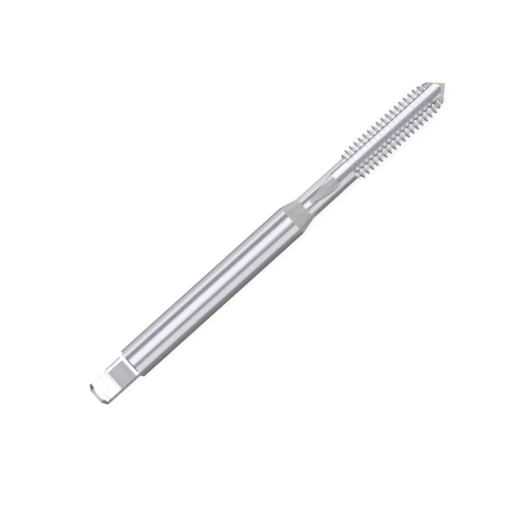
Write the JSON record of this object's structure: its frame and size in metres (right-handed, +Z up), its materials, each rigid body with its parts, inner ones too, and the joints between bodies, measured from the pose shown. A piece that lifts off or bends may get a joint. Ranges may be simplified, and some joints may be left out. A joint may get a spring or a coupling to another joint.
{
  "type": "thread tap",
  "caption": "Straight-fluted tap for cutting an internal screw thread, with a square drive, a plain round shank, a thinner neck, a tapered lead and a male point.",
  "frame": {"origin": "below the middle of the tool's length, on the surface that the shank and the thread lie on", "axes": "+X along the tool from the square end to the point, +Z up out of the middle of one flute, +Y to the side of that flute's cutting face"},
  "size_m": [0.0544, 0.004, 0.004],
  "materials": {
    "ground_steel": "bright ground high-speed steel"
  },
  "bodies": {
    "root": {"thread_tap": "ground_steel"}
  },
  "joints": []
}
